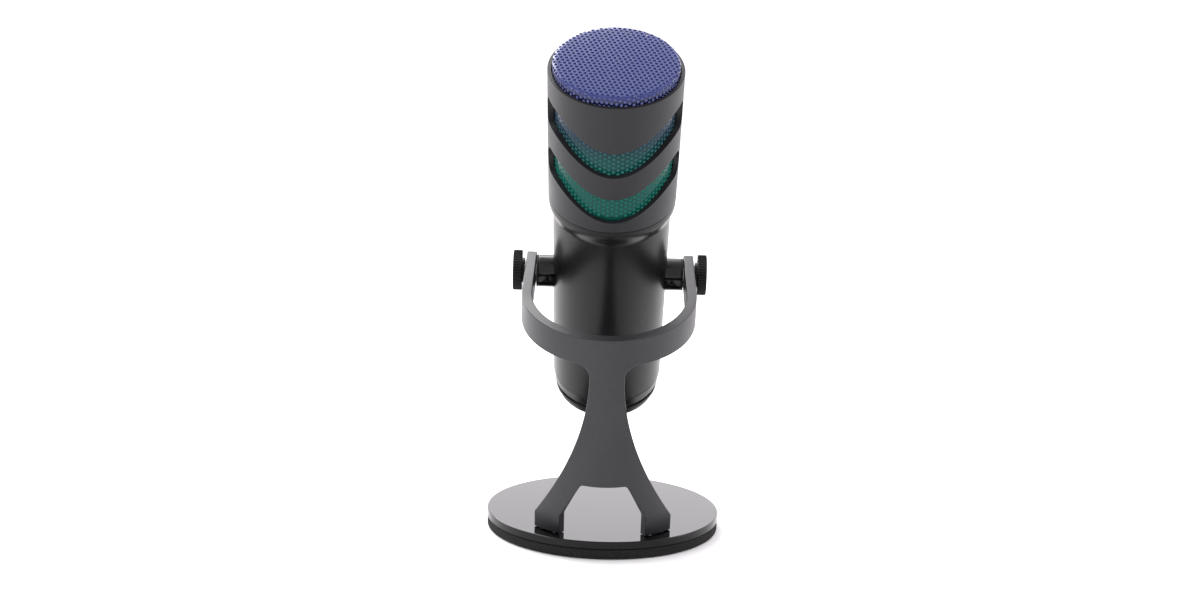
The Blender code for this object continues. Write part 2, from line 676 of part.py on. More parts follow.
def add_tail(mic):
    """Gain ring, end cap with its screws, and the board that carries the sockets."""
    ring = [
        (RING_BORE, RING_BOTTOM), (RING_RADIUS - 1.2, RING_BOTTOM),
        (RING_RADIUS - 0.5, RING_BOTTOM + 0.7), (RING_RADIUS, RING_TOP - 0.4),
        (RING_RADIUS - 0.3, RING_TOP), (RING_BORE, RING_TOP),
    ]
    make("gain_ring", revolve(ring), DARK_PAINT, mic)
    cap_profile = [
        (0.0, TAIL_END), (20.2, TAIL_END), (20.9, TAIL_END + 0.7), (21.2, TAIL_END + 2.2),
        (21.2, TAIL_END + 3.0), (TAIL_FLANGE, TAIL_END + 3.4), (TAIL_FLANGE, CAP_SEAT - 1.0),
        (21.3, CAP_SEAT - 1.0), (21.3, CAP_SEAT), (RING_BORE - GAP, CAP_SEAT),
        (RING_BORE - GAP, IO_BOARD_BOTTOM - GAP), (17.6, IO_BOARD_BOTTOM - GAP),
        (17.6, TAIL_END + 2.4), (0.0, TAIL_END + 2.4),
    ]
    cap = make("end_cap", revolve(cap_profile), DARK_PLASTIC, mic)
    cut(cap, [prism(stadium(9.5, 3.8, USB_Y), TAIL_END - 1.0, TAIL_END + 4.0)])
    cut(cap, [rod(3.3, TAIL_END - 1.0, TAIL_END + 4.0)], at(0.0, JACK_Y, 0.0))
    board = make("socket_board", rod(19.5, IO_BOARD_BOTTOM, IO_BOARD_TOP, ROUND), BOARD_GREEN,
                 mic)
    hole = [
        (0.0, TAIL_END - 1.0), (2.2, TAIL_END - 1.0), (2.2, TAIL_END + 1.6),
        (1.3, TAIL_END + 1.6), (1.3, IO_BOARD_TOP + 1.0), (0.0, IO_BOARD_TOP + 1.0),
    ]
    screw = [
        (0.0, TAIL_END + 0.2), (1.9, TAIL_END + 0.2), (1.9, TAIL_END + 1.3),
        (1.0, TAIL_END + 1.3), (1.0, -44.0), (0.0, -44.0),
    ]
    for number, (x, y, _) in enumerate(ring_places(TAIL_SCREW_RING, 3, math.pi / 6.0), start=1):
        cut(cap, [revolve(hole, SCREW_ROUND)], at(x, y, 0.0))
        cut(board, [revolve(hole, SCREW_ROUND)], at(x, y, 0.0))
        make(f"tail_screw_{number}", revolve(screw, SCREW_ROUND), STEEL, mic, at(x, y, 0.0))
    sensor = box((-16.0, -12.5), (-2.0, 2.0), (IO_BOARD_BOTTOM - 2.1, IO_BOARD_BOTTOM - GAP))
    make("gain_sensor", sensor, CHIP_BLACK, mic)


def add_sockets(mic):
    top = IO_BOARD_BOTTOM - GAP
    mouth = TAIL_END + 0.2
    socket = make("usb_socket", prism(stadium(8.9, 3.2, USB_Y), mouth, top), STEEL, mic)
    cut(socket, [prism(stadium(8.3, 2.6, USB_Y), mouth - 1.0, mouth + 7.0)])
    join(socket, [box((-3.3, 3.3), (USB_Y - 0.35, USB_Y + 0.35), (mouth + 0.8, mouth + 8.0))])
    jack = [
        (0.0, mouth + 9.0), (1.8, mouth + 9.0), (1.8, mouth), (3.0, mouth), (3.0, top), (0.0, top),
    ]
    make("headphone_jack", revolve(jack, SMALL_ROUND), DARK_PLASTIC, mic, at(0.0, JACK_Y, 0.0))


def main():
    for item in list(bpy.data.objects):
        bpy.data.objects.remove(item)
    add_base()
    add_stand()
    mic = bpy.data.objects.new("microphone_frame", None)
    bpy.context.scene.collection.objects.link(mic)
    mic.matrix_world = Matrix.Translation(PIVOT * MM) @ Matrix.Rotation(MIC_LEAN, 4, "X")
    add_body(mic)
    add_neck(mic)
    add_head(mic)
    add_capsule(mic)
    add_head_lights(mic)
    add_inner_frame(mic)
    add_main_board(mic)
    add_front_controls(mic)
    for side, outward in SIDES:
        add_pivot(mic, side, outward)
    add_tail(mic)
    add_sockets(mic)


main()
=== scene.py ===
"""Looks for the desktop microphone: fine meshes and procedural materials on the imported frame.

Shapes are given in millimetres and become metres in build(). The microphone's own frame has
its origin on the tilt axis, Z along the body towards the head and X along the tilt axis.
"""
import json
import math

import bmesh
import bpy
from mathutils import Matrix, Vector


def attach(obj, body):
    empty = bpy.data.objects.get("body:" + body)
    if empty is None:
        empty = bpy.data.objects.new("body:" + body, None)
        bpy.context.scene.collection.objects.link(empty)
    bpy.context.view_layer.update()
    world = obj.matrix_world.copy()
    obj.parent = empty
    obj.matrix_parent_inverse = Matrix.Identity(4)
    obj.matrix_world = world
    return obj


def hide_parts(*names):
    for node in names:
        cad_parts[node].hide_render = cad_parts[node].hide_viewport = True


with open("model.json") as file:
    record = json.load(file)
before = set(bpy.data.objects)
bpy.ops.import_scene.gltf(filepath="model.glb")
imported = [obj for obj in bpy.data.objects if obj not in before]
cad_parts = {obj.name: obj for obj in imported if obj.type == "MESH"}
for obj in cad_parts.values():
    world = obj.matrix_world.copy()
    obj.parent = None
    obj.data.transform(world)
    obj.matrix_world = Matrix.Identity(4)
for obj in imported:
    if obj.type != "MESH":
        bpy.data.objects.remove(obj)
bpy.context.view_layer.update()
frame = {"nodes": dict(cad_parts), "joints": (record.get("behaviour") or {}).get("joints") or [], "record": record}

MM = 0.001
GAP = 0.3                    # clearance between neighbouring CAD pieces
ROUND = 192                  # facets around the body
BASE_ROUND = 256             # facets around the base
JOINTS = {joint["name"]: joint for joint in frame["joints"]}
STAND, MIC, RING, BUTTON = "stand", "microphone", "gain_ring", "mute_button"


# ---------------------------------------------------------------- places read from the frame

def mic_matrix():
    """Frame of the microphone: origin on the tilt axis, Z along the body, X along the tilt axis."""
    up = Vector(JOINTS["gain_ring_turn"]["axis"]).normalized()
    side = Vector(JOINTS["mic_tilt"]["axis"]).normalized()
    front = up.cross(side)
    matrix = Matrix((side, front, up)).transposed().to_4x4()
    matrix.translation = Vector(JOINTS["mic_tilt"]["pos_m"])
    return matrix


MIC_FRAME = mic_matrix()
WORLD = Matrix.Identity(4)
ALONG_X = Matrix.Rotation(math.radians(90.0), 4, "Y")
ALONG_MINUS_X = Matrix.Rotation(math.radians(-90.0), 4, "Y")
ALONG_Y = Matrix.Rotation(math.radians(-90.0), 4, "X")


def reach(node, place=MIC_FRAME):
    """(largest radius, lowest, highest) of a CAD node about a frame's Z axis, in millimetres."""
    inverse = place.inverted()
    points = [inverse @ vertex.co for vertex in frame["nodes"][node].data.vertices]
    radius = max(math.hypot(point.x, point.y) for point in points)
    return radius / MM, min(p.z for p in points) / MM, max(p.z for p in points) / MM


PAD_RADIUS, PAD_LOW, PAD_TOP = reach("base_pad", WORLD)
PLATE_RADIUS, PLATE_LOW, PLATE_TOP = reach("base_plate", WORLD)
BODY_TOP_RADIUS, BODY_LOW, BODY_TOP = reach("body_tube")
_, NECK_LOW, DECK = reach("neck_ring")
SHELL_RADIUS, SHELL_LOW, SHELL_TOP = reach("head_shell")
CAP_RADIUS, CAP_LOW, CAP_TOP = reach("grille_cap")
SLEEVE_RADIUS, SLEEVE_LOW, SLEEVE_TOP = reach("grille_sleeve")
FOAM_RADIUS, FOAM_LOW, FOAM_TOP = reach("foam_windscreen")
RING_RADIUS, RING_LOW, RING_TOP = reach("gain_ring")
TAIL_RADIUS, TAIL_END, _ = reach("end_cap")

# Body: a slow taper, then a short flare under the neck
BODY_BORE = 21.4
BODY_FOOT_RADIUS = 23.1
BODY_RADIUS = 23.9
FLARE_START = 33.2
FLARE_END = 39.8
BODY_SADDLE = 23.68                      # the spacer sleeves follow the body at this radius

# Head shell
SHELL_FOOT_RADIUS = SHELL_RADIUS - 0.7   # the shell widens a little towards its rim
SHELL_BORE = SLEEVE_RADIUS + GAP
RIM_BORE = CAP_RADIUS + GAP
RIM_SEAT = CAP_LOW - GAP
WINDOW_HEIGHT = 11.7
WINDOW_RISE = 11.2
WINDOW_RISE_ANGLE = 70.0
LOWER_WINDOW = (52.6, 82.0)              # height at the middle, half angle
UPPER_WINDOW = (75.0, 87.0)

# Perforated sheet
PITCH = 2.03                             # between the middles of neighbouring holes
HOLE_RADIUS = 0.62
LIP_RADIUS = 0.72                        # of the broken edge around each hole
LIP_DEPTH = 0.09
HOLE_SIDES = 12                          # two for each side of a cell
SHEET = 0.55
LATTICE_TURN = math.radians(-10.0)       # rows of holes on the cap, from the tilt axis
CAP_CORNER = 1.35
CAP_CROWN = 0.35                         # rise of the cap's middle over its edge
CAP_HEM = 3.2                            # plain edge below the holes

# Stand sheet, measured flat: widths from its middle line, heights up the axis of its roll
ROLL_RADIUS = 35.6
STAND_SHEET = 4.15
STAND_LEAN = math.radians(21.6)
STAND_FOOT_Y = -8.41                     # where the roll's axis meets the top of the base
STRIP_TOP = 113.3
STRIP_BOTTOM = 100.9
BEND = math.radians(91.5)                # a little past square, so the arms toe in
ARM_REACH = 24.33                        # straight run from the roll to the pivot
ARM_TAIL = 7.4                           # arm beyond the pivot
ARM_CORNER = 2.2
WAIST_HALF = 7.1
WAIST_TOP = 94.5
WAIST_FILLET = 6.0
FLARE_POWER = 1.88
FOOT_OUTER = 33.8
FOOT_INNER = 19.0
FOOT_SHOULDER = 16.5
ARCH_SPRING = 21.5
ARCH_HALF = 9.6
ARCH_TOP = 40.9
BEND_STEPS = 48
EDGE_ROUNDING = 0.40

# Controls and sockets
MUTE_HEIGHT = 12.0                       # up the body from the tilt axis
LIGHT_HEIGHT = 26.0
USB_Y = -3.0
JACK_Y = 8.0
TAIL_SCREW_RING = 14.0
KNOB_RIBS = 46
KNOB_PLAIN_RADIUS = 7.6                  # inside this a thumb knob has no ribs
RIB_STEPS = 8                            # facets to each rib of a thumb knob


# ---------------------------------------------------------------- shader helpers

def new_material(name):
    """A material with an empty Principled shader, and its node tree."""
    material = bpy.data.materials.new(name)
    material.use_nodes = True
    return material, material.node_tree, material.node_tree.nodes["Principled BSDF"]


def noise(tree, scale, detail=2.0, roughness=0.5):
    """A noise texture on object coordinates; scale is in features per metre."""
    place = tree.nodes.new("ShaderNodeTexCoord")
    texture = tree.nodes.new("ShaderNodeTexNoise")
    texture.inputs["Scale"].default_value = scale
    texture.inputs["Detail"].default_value = detail
    texture.inputs["Roughness"].default_value = roughness
    tree.links.new(place.outputs["Object"], texture.inputs["Vector"])
    return texture.outputs["Fac"]


def ramp(tree, factor, stops):
    """A colour ramp; stops are (position, colour)."""
    node = tree.nodes.new("ShaderNodeValToRGB")
    elements = node.color_ramp.elements
    while len(elements) < len(stops):
        elements.new(0.5)
    for element, (position, colour) in zip(elements, stops):
        element.position = position
        element.color = (*colour, 1.0)
    tree.links.new(factor, node.inputs["Fac"])
    return node.outputs["Color"]


def spread(tree, factor, low, high):
    """Map a 0 to 1 factor onto a range."""
    node = tree.nodes.new("ShaderNodeMapRange")
    node.inputs["From Min"].default_value = 0.3
    node.inputs["From Max"].default_value = 0.7
    node.inputs["To Min"].default_value = low
    node.inputs["To Max"].default_value = high
    tree.links.new(factor, node.inputs["Value"])
    return node.outputs["Result"]


def bump(tree, shader, height, distance):
    """Add a bump of the given height in millimetres."""
    node = tree.nodes.new("ShaderNodeBump")
    node.inputs["Strength"].default_value = 1.0
    node.inputs["Distance"].default_value = distance * MM
    tree.links.new(height, node.inputs["Height"])
    tree.links.new(node.outputs["Normal"], shader.inputs["Normal"])


def grained(name, colour, grain, low, high, height, metallic=0.0, specular=0.5, shift=0.18):
    """A painted or moulded surface: fine grain in colour, gloss and relief."""
    material, tree, shader = new_material(name)
    broad = noise(tree, 45.0, 3.0)
    fine = noise(tree, grain, 2.0, 0.6)
    darker = tuple(channel * (1.0 - shift) for channel in colour)
    lighter = tuple(min(1.0, channel * (1.0 + shift)) for channel in colour)
    mix = tree.nodes.new("ShaderNodeMath")
    mix.operation = "MULTIPLY_ADD"
    mix.inputs[1].default_value = 0.6
    tree.links.new(fine, mix.inputs[0])
    scaled = tree.nodes.new("ShaderNodeMath")
    scaled.operation = "MULTIPLY"
    scaled.inputs[1].default_value = 0.4
    tree.links.new(broad, scaled.inputs[0])
    tree.links.new(scaled.outputs["Value"], mix.inputs[2])
    tree.links.new(ramp(tree, mix.outputs["Value"], [(0.3, darker), (0.7, lighter)]),
                   shader.inputs["Base Color"])
    tree.links.new(spread(tree, broad, low, high), shader.inputs["Roughness"])
    shader.inputs["Metallic"].default_value = metallic
    shader.inputs["Specular IOR Level"].default_value = specular
    bump(tree, shader, fine, height)
    return material


def gloss_plate():
    """Black lacquer with faint haze."""
    material, tree, shader = new_material("gloss_lacquer")
    haze = noise(tree, 30.0, 4.0)
    grit = noise(tree, 900.0, 2.0)
    shades = [(0.35, (0.0014, 0.0013, 0.0015)), (0.65, (0.0022, 0.0020, 0.0024))]
    tree.links.new(ramp(tree, haze, shades), shader.inputs["Base Color"])
    tree.links.new(spread(tree, haze, 0.025, 0.045), shader.inputs["Roughness"])
    shader.inputs["Specular IOR Level"].default_value = 0.22
    bump(tree, shader, grit, 0.004)
    return material


def foam_rubber():
    """Matt black foam, open pores."""
    material, tree, shader = new_material("foam_rubber")
    place = tree.nodes.new("ShaderNodeTexCoord")
    pores = tree.nodes.new("ShaderNodeTexVoronoi")
    pores.inputs["Scale"].default_value = 1500.0
    tree.links.new(place.outputs["Object"], pores.inputs["Vector"])
    tree.links.new(ramp(tree, pores.outputs["Distance"],
                        [(0.1, (0.004, 0.004, 0.004)), (0.6, (0.013, 0.013, 0.0125))]),
                   shader.inputs["Base Color"])
    shader.inputs["Roughness"].default_value = 0.95
    shader.inputs["Specular IOR Level"].default_value = 0.2
    bump(tree, shader, pores.outputs["Distance"], 0.25)
    return material


def head_height(tree):
    """0 at the foot of the head and 1 at its top, along the microphone's axis."""
    place = tree.nodes.new("ShaderNodeTexCoord")
    split = tree.nodes.new("ShaderNodeSeparateXYZ")
    tree.links.new(place.outputs["Object"], split.inputs["Vector"])
    node = tree.nodes.new("ShaderNodeMapRange")
    node.inputs["From Min"].default_value = DECK * MM
    node.inputs["From Max"].default_value = CAP_TOP * MM
    tree.links.new(split.outputs["Z"], node.inputs["Value"])
    return node.outputs["Result"]


# Colours up the head: share of its height, colour of the sheet, painted light from inside
HEAD_COLOURS = (
    (0.05, (0.0020, 0.0480, 0.0370), (0.018, 0.140, 0.112)),
    (0.30, (0.0020, 0.0480, 0.0380), (0.024, 0.150, 0.124)),
    (0.50, (0.0030, 0.0360, 0.0340), (0.038, 0.140, 0.136)),
    (0.62, (0.0040, 0.0150, 0.0250), (0.056, 0.100, 0.145)),
    (0.75, (0.0025, 0.0070, 0.0260), (0.070, 0.095, 0.200)),
    # Painted shade: the sheet is made much darker on the cap's corner and skirt than on its lighter top
    (0.962, (0.0010, 0.0020, 0.0240), (0.120, 0.140, 0.340)),
    (0.99, (0.0140, 0.0230, 0.1250), (0.012, 0.016, 0.070)),
)
SHEET_COLOURS = [(stop, colour) for stop, colour, _ in HEAD_COLOURS]
# Painted light: glow for the hole walls, the inside of the sheets and the foam, in place of the head lights
# shining on them
PAINTED_INNER_LIGHT = [(stop, light) for stop, _, light in HEAD_COLOURS]


def grille_sheet(name, glow, gloss):
    """Tinted lacquer on perforated metal, blue at the top to green at the foot, with painted shade on the cap's
    corner and skirt.
    """
    material, tree, shader = new_material(name)
    height = head_height(tree)
    wear = noise(tree, 400.0, 3.0)
    tree.links.new(ramp(tree, height, SHEET_COLOURS), shader.inputs["Base Color"])
    tree.links.new(spread(tree, wear, 0.15, 0.22), shader.inputs["Roughness"])
    shader.inputs["Specular IOR Level"].default_value = gloss
    # Painted light: the glow stands in for the head lights shining on the sheet
    if glow > 0.0:
        tree.links.new(ramp(tree, height, PAINTED_INNER_LIGHT), shader.inputs["Emission Color"])
        shader.inputs["Emission Strength"].default_value = glow
    bump(tree, shader, wear, 0.01)
    return material


def foam_painted_glow():
    """Foam liner behind the grille, with a painted glow standing in for light from the head lights."""
    material, tree, shader = new_material("foam_painted_glow")
    height = head_height(tree)
    cells = noise(tree, 1400.0, 3.0, 0.7)
    shades = [(0.35, (0.004, 0.006, 0.010)), (0.65, (0.015, 0.020, 0.030))]
    tree.links.new(ramp(tree, cells, shades), shader.inputs["Base Color"])
    # Painted light: emission in place of the head lights shining on the foam
    tree.links.new(ramp(tree, height, PAINTED_INNER_LIGHT), shader.inputs["Emission Color"])
    shader.inputs["Emission Strength"].default_value = 0.9
    shader.inputs["Roughness"].default_value = 0.95
    bump(tree, shader, cells, 0.2)
    return material


def metal(name, colour, low, high, grain=700.0):
    """Bare metal with a drawn or turned grain."""
    material, tree, shader = new_material(name)
    fine = noise(tree, grain, 3.0)
    darker = tuple(channel * 0.85 for channel in colour)
    tree.links.new(ramp(tree, fine, [(0.3, darker), (0.7, colour)]), shader.inputs["Base Color"])
    tree.links.new(spread(tree, fine, low, high), shader.inputs["Roughness"])
    shader.inputs["Metallic"].default_value = 1.0
    bump(tree, shader, fine, 0.006)
    return material


def lens(name, colour, glow):
    """Clear tinted resin with a faint glow."""
    material, tree, shader = new_material(name)
    cloud = noise(tree, 600.0)
    darker = tuple(channel * 0.8 for channel in colour)
    tree.links.new(ramp(tree, cloud, [(0.3, darker), (0.7, colour)]), shader.inputs["Base Color"])
    tree.links.new(spread(tree, cloud, 0.08, 0.16), shader.inputs["Roughness"])
    shader.inputs["Emission Color"].default_value = (*colour, 1.0)
    shader.inputs["Emission Strength"].default_value = glow
    return material


SATIN = grained("satin_paint", (0.0036, 0.0036, 0.0041), 2200.0, 0.27, 0.33, 0.008, 0.0, 0.25)
SHELL_PAINT = grained("shell_paint", (0.012, 0.012, 0.0138), 2200.0, 0.38, 0.46, 0.010, 0.0, 0.26)
POWDER = grained("powder_coat", (0.0125, 0.0122, 0.0142), 1500.0, 0.38, 0.46, 0.050, 0.0,
                 0.42, 0.40)
BLACK = grained("black_plastic", (0.003, 0.003, 0.0031), 1800.0, 0.34, 0.44, 0.012, 0.0, 0.22)
TURNED = grained("turned_black", (0.0015, 0.0015, 0.0016), 1800.0, 0.16, 0.22, 0.006, 0.0, 0.30)
GREY = grained("grey_moulding", (0.17, 0.17, 0.18), 1200.0, 0.50, 0.62, 0.020)
RUBBER = grained("soft_rubber", (0.013, 0.013, 0.013), 1300.0, 0.75, 0.90, 0.030, 0.0, 0.3)
BOARD = grained("circuit_board", (0.010, 0.11, 0.05), 900.0, 0.35, 0.50, 0.010)
CHIP = grained("chip_epoxy", (0.012, 0.012, 0.013), 1500.0, 0.45, 0.60, 0.010)
LACQUER = gloss_plate()
PAD_FOAM = foam_rubber()
# Cap sheet: the height colours give it painted shade on its corner and skirt
CAP_GRILLE = grille_sheet("tinted_cap_painted_shade", 0.0, 0.40)
SLEEVE_GRILLE = grille_sheet("tinted_sleeve", 0.0, 0.15)
# Painted glow on the hole walls and inner skin, in place of light from the head lights
GRILLE_INSIDE = grille_sheet("tinted_grille_inside_painted_glow", 0.9, 0.15)
FOAM = foam_painted_glow()
STEEL = metal("zinc_steel", (0.60, 0.60, 0.61), 0.25, 0.40)
BRASS = metal("turned_brass", (0.72, 0.52, 0.22), 0.25, 0.38)
LAMP = lens("lamp_resin", (0.80, 0.85, 0.90), 0.1)
STATUS = lens("status_resin", (0.55, 0.06, 0.05), 0.15)


# ---------------------------------------------------------------- mesh helpers

def round_corner(before, corner, after, radius, segments=4):
    """Points of a fillet that replaces one corner of an outline."""
    corner = Vector(corner)
    to_before = (Vector(before) - corner).normalized()
    to_after = (Vector(after) - corner).normalized()
    half = to_before.angle(to_after) / 2.0
    run = radius / math.tan(half)
    centre = corner + (to_before + to_after).normalized() * radius / math.sin(half)
    start = corner + to_before * run - centre
    end = corner + to_after * run - centre
    points = []
    for step in range(segments + 1):
        arm = start.slerp(end, step / segments)
        points.append(tuple(centre + arm.normalized() * radius))
    return points


def soften(profile, segments=3):
    """Round the corners of a closed loop of (radius, height, corner radius)."""
    loop = []
    count = len(profile)
    for number, (radius, height, fillet) in enumerate(profile):
        before = profile[number - 1][:2]
        after = profile[(number + 1) % count][:2]
        if fillet > 0.0:
            loop += round_corner(before, (radius, height), after, fillet, segments)
        else:
            loop.append((radius, height))
    return loop


def revolve(profile, segments=160, ribs=None):
    """Turn a closed (radius, height) loop about Z. ribs(angle, radius) may change the radius."""
    points = []
    rings = []
    for radius, height in profile:
        if radius <= 1e-9:
            rings.append([len(points)])
            points.append((0.0, 0.0, height))
            continue
        rings.append(list(range(len(points), len(points) + segments)))
        for step in range(segments):
            angle = 2.0 * math.pi * step / segments
            arm = ribs(angle, radius) if ribs else radius
            points.append((arm * math.cos(angle), arm * math.sin(angle), height))
    faces = []
    for here, there in zip(rings, rings[1:] + rings[:1]):
        for step in range(segments):
            ahead = step + 1
            corners = (here[step % len(here)], here[ahead % len(here)],
                       there[ahead % len(there)], there[step % len(there)])
            face = list(dict.fromkeys(corners))
            if len(face) > 2:
                faces.append(face)
    return points, faces


def build(name, shape, material, body, place=MIC_FRAME, replaces=(), sharp=34.0,
          second=None):
    """Add a piece from (points, faces) in millimetres, and tie it to the frame.

    second is (material, first face) for a finish that the last faces have."""
    points, faces = shape
    mesh = bpy.data.meshes.new(name)
    mesh.from_pydata([Vector(point) * MM for point in points], [], faces)
    mesh.materials.append(material)
    if second:
        mesh.materials.append(second[0])
        for face in mesh.polygons[second[1]:]:
            face.material_index = 1
    tidy(mesh, sharp)
    piece = bpy.data.objects.new(name, mesh)
    bpy.context.scene.collection.objects.link(piece)
    piece.matrix_world = place
    flat_faces(piece)
    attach(piece, body)
    if replaces:
        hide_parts(*replaces)
    return piece


def tidy(mesh, sharp=34.0):
    """Face the mesh outwards and smooth it up to the given edge angle."""
    shape = bmesh.new()
    shape.from_mesh(mesh)
    bmesh.ops.remove_doubles(shape, verts=shape.verts, dist=1e-7)
    bmesh.ops.recalc_face_normals(shape, faces=shape.faces)
    shape.to_mesh(mesh)
    shape.free()
    mesh.shade_smooth()
    mesh.set_sharp_from_angle(angle=math.radians(sharp))


def flat_faces(piece):
    """Let the large faces decide the shading at their edges, so they look flat."""
    modifier = piece.modifiers.new("flat_faces", "WEIGHTED_NORMAL")
    modifier.keep_sharp = True


def carve(piece, shapes, place=MIC_FRAME, sharp=34.0):
    """Cut (points, faces) shapes out of a piece for good."""
    tools = []
    for number, (points, faces) in enumerate(shapes):
        mesh = bpy.data.meshes.new("tool")
        mesh.from_pydata([Vector(point) * MM for point in points], [], faces)
        tidy(mesh)
        tool = bpy.data.objects.new("tool", mesh)
        bpy.context.scene.collection.objects.link(tool)
        tool.matrix_world = place
        modifier = piece.modifiers.new(f"cut_{number}", "BOOLEAN")
        modifier.operation = "DIFFERENCE"
        modifier.solver = "EXACT"
        modifier.object = tool
        tools.append(tool)
    bpy.context.view_layer.update()
    graph = bpy.context.evaluated_depsgraph_get()
    mesh = bpy.data.meshes.new_from_object(piece.evaluated_get(graph))
    material = piece.data.materials[0]
    piece.modifiers.clear()
    piece.data = mesh
    mesh.materials.clear()
    mesh.materials.append(material)
    mesh.shade_smooth()
    mesh.set_sharp_from_angle(angle=math.radians(sharp))
    flat_faces(piece)
    for tool in tools:
        bpy.data.objects.remove(tool)


def rod(radius, start, end, segments=64):
    """Solid cylinder on Z between two heights."""
    return revolve([(0.0, start), (radius, start), (radius, end), (0.0, end)], segments)


def at(x, y, z):
    """Shift given in millimetres."""
    return Matrix.Translation(Vector((x, y, z)) * MM)


# ---------------------------------------------------------------- base

def add_base():
    """Foam pad with a lacquered plate on it."""
    pad = soften([(0.0, PAD_LOW, 0.0), (PAD_RADIUS - 0.2, PAD_LOW, 0.5),
                  (PAD_RADIUS - 0.2, PAD_TOP, 0.3), (0.0, PAD_TOP, 0.0)])
    build("base_pad_foam", revolve(pad, BASE_ROUND), PAD_FOAM, STAND, WORLD, ["base_pad"])
    plate = soften([(0.0, PLATE_LOW, 0.0), (PLATE_RADIUS, PLATE_LOW, 0.35),
                    (PLATE_RADIUS, PLATE_TOP, 0.45), (0.0, PLATE_TOP, 0.0)], 4)
    build("base_plate_lacquered", revolve(plate, BASE_ROUND), LACQUER, STAND, WORLD, ["base_plate"])


# ---------------------------------------------------------------- stand

def rolled(arc, depth):
    """Sideways and backwards position of a point on the rolled sheet."""
    rolled_arc = ROLL_RADIUS * BEND
    side = -1.0 if arc < 0.0 else 1.0
    radius = ROLL_RADIUS - depth
    if abs(arc) >= rolled_arc:
        run = abs(arc) - rolled_arc
        return (side * (radius * math.sin(BEND) + run * math.cos(BEND)),
                run * math.sin(BEND) - radius * math.cos(BEND))
    angle = abs(arc) / ROLL_RADIUS
    return side * radius * math.sin(angle), -radius * math.cos(angle)


def stand_point(arc, depth, height):
    """World position, in millimetres, of a point given on the flat sheet."""
    across, back = rolled(arc, depth)
    lean_sin, lean_cos = math.sin(STAND_LEAN), math.cos(STAND_LEAN)
    return (across,
            STAND_FOOT_Y - lean_sin * height + lean_cos * back,
            PLATE_TOP + lean_cos * height + lean_sin * back)


def foot_point(arc, depth, world_height):
    """World position on the sheet at a chosen height above the desk."""
    back = rolled(arc, depth)[1]
    rise = world_height - PLATE_TOP - math.sin(STAND_LEAN) * back
    return stand_point(arc, depth, rise / math.cos(STAND_LEAN))


def flare(height):
    """Half width of the post at a height, from the waist down to the foot."""
    share = (WAIST_TOP - height) / (WAIST_TOP - FOOT_SHOULDER)
    return WAIST_HALF + (FOOT_OUTER - WAIST_HALF) * share ** FLARE_POWER


def stand_outline():
    """Flat outline of the sheet; the feet end at zero."""
    arm_end = ROLL_RADIUS * BEND + ARM_REACH + ARM_TAIL
    top = (arm_end, STRIP_TOP)
    bottom = (arm_end, STRIP_BOTTOM)
    waist = (WAIST_HALF, STRIP_BOTTOM)
    half = round_corner((0.0, STRIP_TOP), top, bottom, ARM_CORNER, 8)
    half += round_corner(top, bottom, waist, ARM_CORNER, 8)
    half += round_corner(bottom, waist, (WAIST_HALF, WAIST_TOP), WAIST_FILLET, 12)
    steps = 40
    for step in range(1, steps + 1):
        height = WAIST_TOP + (FOOT_SHOULDER - WAIST_TOP) * step / steps
        half.append((flare(height), height))
    foot = (FOOT_INNER, 0.0)
    spring = (FOOT_INNER, ARCH_SPRING)
    crown = (ARCH_HALF, ARCH_TOP)
    half += [(FOOT_OUTER, 0.0), foot]
    half += round_corner(foot, spring, crown, 4.0, 6)
    half += round_corner(spring, crown, (0.0, ARCH_TOP), 2.0, 6)
    return half + [(-arc, height) for arc, height in reversed(half)]


def prism(outline, start, end):
    """Extrude a flat outline along Z."""
    count = len(outline)
    points = [(x, y, start) for x, y in outline] + [(x, y, end) for x, y in outline]
    faces = [list(range(count))[::-1], list(range(count, 2 * count))]
    for here in range(count):
        there = (here + 1) % count
        faces.append([here, there, count + there, count + here])
    return points, faces


def add_stand():
    """The rolled sheet with softly broken edges."""
    points, faces = prism(stand_outline(), 0.0, STAND_SHEET)
    flat = bpy.data.meshes.new("flat")
    flat.from_pydata(points, [], faces)
    shape = bmesh.new()
    shape.from_mesh(flat)
    rims = [edge for edge in shape.edges if edge.verts[0].co.z == edge.verts[1].co.z]
    bmesh.ops.bevel(shape, geom=rims, offset=EDGE_ROUNDING, segments=3, profile=0.5,
                    affect="EDGES")
    step_size = ROLL_RADIUS * BEND / BEND_STEPS
    for step in range(-BEND_STEPS, BEND_STEPS + 1):
        everything = shape.verts[:] + shape.edges[:] + shape.faces[:]
        bmesh.ops.bisect_plane(shape, geom=everything, dist=1e-5,
                               plane_co=(step * step_size, 0.0, 0.0), plane_no=(1.0, 0.0, 0.0))
    for vertex in shape.verts:
        arc, height, depth = vertex.co
        if height < 1.0:
            vertex.co = foot_point(arc, depth, PLATE_TOP + GAP + height)
        else:
            vertex.co = stand_point(arc, depth, height)
    shape.verts.index_update()
    points = [tuple(vertex.co) for vertex in shape.verts]
    faces = [[vertex.index for vertex in face.verts] for face in shape.faces]
    shape.free()
    bpy.data.meshes.remove(flat)
    yoke = build("stand_yoke_coated", (points, faces), POWDER, STAND, WORLD, ["stand_yoke"],
                 30.0)
    pivot = Matrix.Translation(MIC_FRAME.translation)
    carve(yoke, [rod(3.2, -40.0, -28.0), rod(3.2, 28.0, 40.0)], pivot @ ALONG_X, 30.0)


# ---------------------------------------------------------------- head shell

def window_line(angle, middle):
    """Height of a window's middle line; the angle is from its lowest point."""
    share = min(abs(angle) / WINDOW_RISE_ANGLE, 1.0)
    return middle + WINDOW_RISE * (1.0 - math.cos(math.pi * share)) / 2.0


